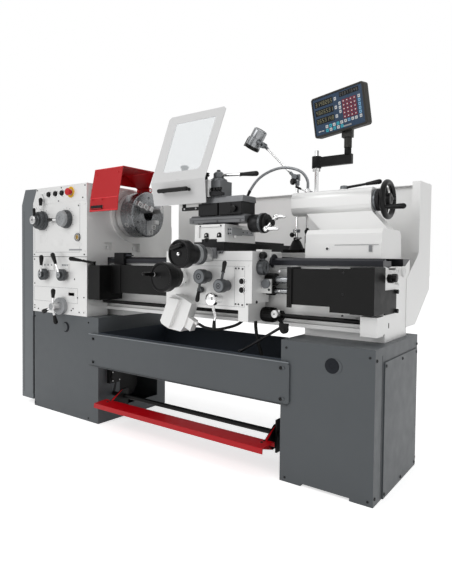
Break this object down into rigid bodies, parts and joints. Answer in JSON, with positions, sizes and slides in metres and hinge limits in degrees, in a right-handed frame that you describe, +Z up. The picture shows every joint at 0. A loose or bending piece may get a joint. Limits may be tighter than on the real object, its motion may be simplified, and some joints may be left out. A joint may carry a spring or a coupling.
{
  "type": "manual lathe",
  "caption": "Manual engine lathe on two cabinets, with chip tray, carriage, tailstock, chuck and chip guards, splash guard, lamp and digital readout.",
  "frame": {"origin": "on the floor, at the middle of the four foundation bolts", "axes": "+X along the bed from the headstock to the tailstock, +Y to the back of the machine, +Z up"},
  "size_m": [2.0763, 0.9894, 1.6709],
  "materials": {
    "white_paint": "satin",
    "grey_paint": "satin",
    "dark_paint": "satin",
    "black_paint": "satin",
    "red_paint": "satin",
    "ground_steel": "satin",
    "dark_steel": "satin",
    "cast_slide": "satin",
    "chrome": "polished",
    "black_plastic": "matte",
    "red_plastic": "gloss",
    "case_plastic": "matte",
    "clear_pane": "gloss",
    "rubber": "matte"
  },
  "bodies": {
    "root": {"left_cabinet": "grey_paint", "right_cabinet": "grey_paint", "front_panel": "grey_paint", "chip_tray": "dark_paint", "main_motor": "grey_paint", "bed": "white_paint", "leadscrew_cover": "black_paint", "end_bracket": "black_paint", "headstock": "white_paint", "feed_gearbox": "white_paint", "splash_guard": "white_paint"},
    "end_cover": {"end_cover": "grey_paint"},
    "spindle": {"spindle": "ground_steel", "chuck": "ground_steel"},
    "jaw_1": {"jaw_1": "ground_steel"},
    "jaw_2": {"jaw_2": "ground_steel"},
    "jaw_3": {"jaw_3": "ground_steel"},
    "carriage": {"saddle": "white_paint", "apron": "white_paint", "cables": "rubber", "lamp_post": "black_paint"},
    "chip_shield": {"chip_shield": "white_paint", "shield_window": "clear_pane"},
    "control_lever": {"control_lever": "dark_steel"},
    "chuck_guard": {"chuck_guard": "red_paint"},
    "speed_dial_left": {"speed_dial_left": "cast_slide"},
    "speed_dial_right": {"speed_dial_right": "cast_slide"},
    "gear_lever_left": {"gear_lever_left": "cast_slide"},
    "gear_lever_right": {"gear_lever_right": "cast_slide"},
    "feed_selector": {"feed_selector": "cast_slide"},
    "start_button": {"start_button": "black_plastic"},
    "jog_button": {"jog_button": "black_plastic"},
    "stop_button": {"stop_button": "black_plastic"},
    "emergency_stop": {"emergency_stop": "red_plastic"},
    "brake_pedal": {"brake_pedal": "red_paint"},
    "leadscrew": {"leadscrew": "ground_steel"},
    "feed_rod": {"feed_rod": "ground_steel"},
    "control_rod": {"control_rod": "dark_steel"},
    "direction_lever": {"direction_lever": "black_plastic"},
    "carriage_handwheel": {"carriage_handwheel": "cast_slide"},
    "cross_handwheel": {"cross_handwheel": "cast_slide"},
    "cross_slide": {"cross_slide": "white_paint"},
    "compound_base": {"compound_base": "cast_slide"},
    "top_slide": {"top_slide": "cast_slide"},
    "compound_crank": {"compound_crank": "chrome"},
    "tool_post": {"tool_post": "dark_steel"},
    "tool_post_lever": {"tool_post_lever": "chrome"},
    "half_nut_lever": {"half_nut_lever": "cast_slide"},
    "feed_lever": {"feed_lever": "cast_slide"},
    "thread_lever": {"thread_lever": "cast_slide"},
    "rapid_lever": {"rapid_lever": "chrome"},
    "tailstock": {"tailstock": "white_paint"},
    "quill": {"quill": "ground_steel"},
    "tailstock_handwheel": {"tailstock_handwheel": "cast_slide"},
    "quill_lever": {"quill_lever": "chrome"},
    "lamp_arm": {"lamp_arm": "black_plastic"},
    "lamp_head": {"lamp_head": "black_plastic"},
    "coolant_pipe": {"coolant_pipe": "black_paint"},
    "readout_arm": {"readout_arm": "black_paint"},
    "readout_display": {"readout_display": "case_plastic"}
  },
  "joints": [
    {"name": "spindle_turn", "type": "hinge", "parent": "root", "child": "spindle", "pos_m": [-0.5, 0.05, 1.057], "axis": [1, 0, 0], "continuous": true},
    {"name": "jaw_1_slide", "type": "slide", "parent": "spindle", "child": "jaw_1", "axis": [0, 0.866, 0.5], "range_m": [-0.018, 0.04]},
    {"name": "jaw_2_slide", "type": "slide", "parent": "spindle", "child": "jaw_2", "axis": [0, -0.866, 0.5], "range_m": [-0.018, 0.04]},
    {"name": "jaw_3_slide", "type": "slide", "parent": "spindle", "child": "jaw_3", "axis": [0, 0, -1], "range_m": [-0.018, 0.04]},
    {"name": "chuck_guard_lift", "type": "hinge", "parent": "root", "child": "chuck_guard", "pos_m": [-0.45, 0.092, 1.192], "axis": [-1, 0, 0], "range_deg": [0, 95]},
    {"name": "end_cover_door", "type": "hinge", "parent": "root", "child": "end_cover", "pos_m": [-0.984, 0.228, 0.6], "axis": [0, 0, -1], "range_deg": [0, 110]},
    {"name": "speed_dial_left_turn", "type": "hinge", "parent": "root", "child": "speed_dial_left", "pos_m": [-0.887, -0.27, 1.025], "axis": [0, 1, 0], "range_deg": [-45, 45]},
    {"name": "speed_dial_right_turn", "type": "hinge", "parent": "root", "child": "speed_dial_right", "pos_m": [-0.677, -0.27, 1.025], "axis": [0, 1, 0], "range_deg": [-30, 15]},
    {"name": "gear_lever_left_turn", "type": "hinge", "parent": "root", "child": "gear_lever_left", "pos_m": [-0.855, -0.27, 0.735], "axis": [0, 1, 0], "range_deg": [-30, 30]},
    {"name": "gear_lever_right_turn", "type": "hinge", "parent": "root", "child": "gear_lever_right", "pos_m": [-0.692, -0.27, 0.735], "axis": [0, 1, 0], "range_deg": [-20, 50]},
    {"name": "feed_selector_turn", "type": "hinge", "parent": "root", "child": "feed_selector", "pos_m": [-0.716, -0.28, 0.571], "axis": [0, 1, 0], "range_deg": [-60, 60]},
    {"name": "start_button_press", "type": "slide", "parent": "root", "child": "start_button", "axis": [0, 1, 0], "range_m": [0, 0.003], "stiffness_N_per_m": 400, "springref_m": -0.002},
    {"name": "jog_button_press", "type": "slide", "parent": "root", "child": "jog_button", "axis": [0, 1, 0], "range_m": [0, 0.003], "stiffness_N_per_m": 400, "springref_m": -0.002},
    {"name": "stop_button_press", "type": "slide", "parent": "root", "child": "stop_button", "axis": [0, 1, 0], "range_m": [0, 0.003], "stiffness_N_per_m": 400, "springref_m": -0.002},
    {"name": "emergency_stop_press", "type": "slide", "parent": "root", "child": "emergency_stop", "axis": [0, 1, 0], "range_m": [0, 0.004], "stiffness_N_per_m": 800, "springref_m": -0.002},
    {"name": "brake_pedal_press", "type": "hinge", "parent": "root", "child": "brake_pedal", "pos_m": [0.1, -0.14, 0.135], "axis": [1, 0, 0], "range_deg": [0, 15], "stiffness_Nm_per_rad": 60, "springref_deg": -20.05},
    {"name": "leadscrew_turn", "type": "hinge", "parent": "root", "child": "leadscrew", "pos_m": [0.2, -0.13, 0.745], "axis": [1, 0, 0], "continuous": true},
    {"name": "feed_rod_turn", "type": "hinge", "parent": "root", "child": "feed_rod", "pos_m": [0.2, -0.13, 0.7], "axis": [1, 0, 0], "continuous": true},
    {"name": "control_rod_turn", "type": "hinge", "parent": "root", "child": "control_rod", "pos_m": [0.2, -0.13, 0.603], "axis": [1, 0, 0], "range_deg": [-10, 6]},
    {"name": "direction_lever_turn", "type": "hinge", "parent": "root", "child": "direction_lever", "pos_m": [-0.489, -0.222, 0.8], "axis": [0, 0, 1], "range_deg": [0, 40]},
    {"name": "carriage_slide", "type": "slide", "parent": "root", "child": "carriage", "axis": [1, 0, 0], "range_m": [-0.22, 0.066]},
    {"name": "control_lever_turn", "type": "hinge", "parent": "carriage", "child": "control_lever", "pos_m": [0.5, -0.13, 0.603], "axis": [1, 0, 0], "range_deg": [-10, 6]},
    {"name": "carriage_wheel_turn", "type": "hinge", "parent": "carriage", "child": "carriage_handwheel", "pos_m": [0.118, -0.3, 0.748], "axis": [0, 1, 0], "range_deg": [-3300, 990]},
    {"name": "cross_wheel_turn", "type": "hinge", "parent": "carriage", "child": "cross_handwheel", "pos_m": [0.267, -0.35, 0.842], "axis": [0, 1, 0], "range_deg": [-2880, 8640]},
    {"name": "cross_slide_feed", "type": "slide", "parent": "carriage", "child": "cross_slide", "axis": [0, 1, 0], "range_m": [-0.04, 0.12]},
    {"name": "half_nut_turn", "type": "hinge", "parent": "carriage", "child": "half_nut_lever", "pos_m": [0.493, -0.184, 0.792], "axis": [1, 0, 0], "range_deg": [-30, 30]},
    {"name": "feed_lever_turn", "type": "hinge", "parent": "carriage", "child": "feed_lever", "pos_m": [0.261, -0.28, 0.753], "axis": [0, 1, 0], "range_deg": [-10, 25]},
    {"name": "thread_lever_turn", "type": "hinge", "parent": "carriage", "child": "thread_lever", "pos_m": [0.36, -0.28, 0.719], "axis": [0, 1, 0], "range_deg": [-25, 25]},
    {"name": "rapid_lever_turn", "type": "hinge", "parent": "carriage", "child": "rapid_lever", "pos_m": [0.323, -0.28, 0.664], "axis": [0, 1, 0], "range_deg": [-30, 30]},
    {"name": "compound_swivel", "type": "hinge", "parent": "cross_slide", "child": "compound_base", "pos_m": [0.267, -0.162, 0.965], "axis": [0, 0, 1], "range_deg": [-45, 45]},
    {"name": "compound_crank_turn", "type": "hinge", "parent": "compound_base", "child": "compound_crank", "pos_m": [0.48, -0.162, 0.9683], "axis": [-1, 0, 0], "range_deg": [-3600, 3600]},
    {"name": "top_slide_feed", "type": "slide", "parent": "compound_base", "child": "top_slide", "axis": [-1, 0, 0], "range_m": [-0.05, 0.05]},
    {"name": "tool_post_turn", "type": "hinge", "parent": "top_slide", "child": "tool_post", "pos_m": [0.255, -0.165, 1.1], "axis": [0, 0, 1], "range_deg": [-40, 30]},
    {"name": "tool_post_lever_turn", "type": "hinge", "parent": "tool_post", "child": "tool_post_lever", "pos_m": [0.255, -0.165, 1.17], "axis": [0, 0, 1], "range_deg": [-40, 10]},
    {"name": "chip_shield_swing", "type": "hinge", "parent": "top_slide", "child": "chip_shield", "pos_m": [0.1, -0.205, 1.16], "axis": [0, 0, 1], "range_deg": [-60, 0]},
    {"name": "lamp_elbow", "type": "hinge", "parent": "carriage", "child": "lamp_arm", "pos_m": [0.44, 0.16, 1.198], "axis": [0, 1, 0], "range_deg": [-20, 40]},
    {"name": "lamp_knuckle", "type": "hinge", "parent": "lamp_arm", "child": "lamp_head", "pos_m": [0.279, 0.16, 1.357], "axis": [0, 1, 0], "range_deg": [-40, 40]},
    {"name": "coolant_pipe_swivel", "type": "hinge", "parent": "carriage", "child": "coolant_pipe", "pos_m": [0.505, 0.16, 0.9], "axis": [0, 0, 1], "range_deg": [-5, 20]},
    {"name": "tailstock_slide", "type": "slide", "parent": "root", "child": "tailstock", "axis": [1, 0, 0], "range_m": [-0.075, 0.012]},
    {"name": "quill_feed", "type": "slide", "parent": "tailstock", "child": "quill", "axis": [-1, 0, 0], "range_m": [0, 0.1]},
    {"name": "tailstock_wheel_turn", "type": "hinge", "parent": "tailstock", "child": "tailstock_handwheel", "pos_m": [0.9, 0.05, 1.057], "axis": [-1, 0, 0], "range_deg": [0, 7200]},
    {"name": "quill_lever_turn", "type": "hinge", "parent": "tailstock", "child": "quill_lever", "pos_m": [0.719, 0.06, 1.11], "axis": [0, 0, 1], "range_deg": [-60, 30]},
    {"name": "readout_arm_swing", "type": "hinge", "parent": "root", "child": "readout_arm", "pos_m": [0.371, 0.515, 1.33], "axis": [0, 0, 1], "range_deg": [-45, 60]},
    {"name": "readout_display_swivel", "type": "hinge", "parent": "readout_arm", "child": "readout_display", "pos_m": [0.54, 0.514, 1.4], "axis": [0, 0, 1], "range_deg": [-30, 30]}
  ],
  "couplings": [
    {"joint": "jaw_2_slide", "follows": "jaw_1_slide", "ratio": 1},
    {"joint": "jaw_3_slide", "follows": "jaw_1_slide", "ratio": 1},
    {"joint": "leadscrew_turn", "follows": "spindle_turn", "ratio": -0.25},
    {"joint": "feed_rod_turn", "follows": "spindle_turn", "ratio": -0.1},
    {"joint": "control_rod_turn", "follows": "control_lever_turn", "ratio": 1},
    {"joint": "carriage_wheel_turn", "follows": "carriage_slide", "rad_per_m": 261.8},
    {"joint": "cross_slide_feed", "follows": "cross_wheel_turn", "m_per_rad": 0.00079577},
    {"joint": "compound_crank_turn", "follows": "top_slide_feed", "rad_per_m": 1256.6},
    {"joint": "quill_feed", "follows": "tailstock_wheel_turn", "m_per_rad": 0.00079577}
  ]
}
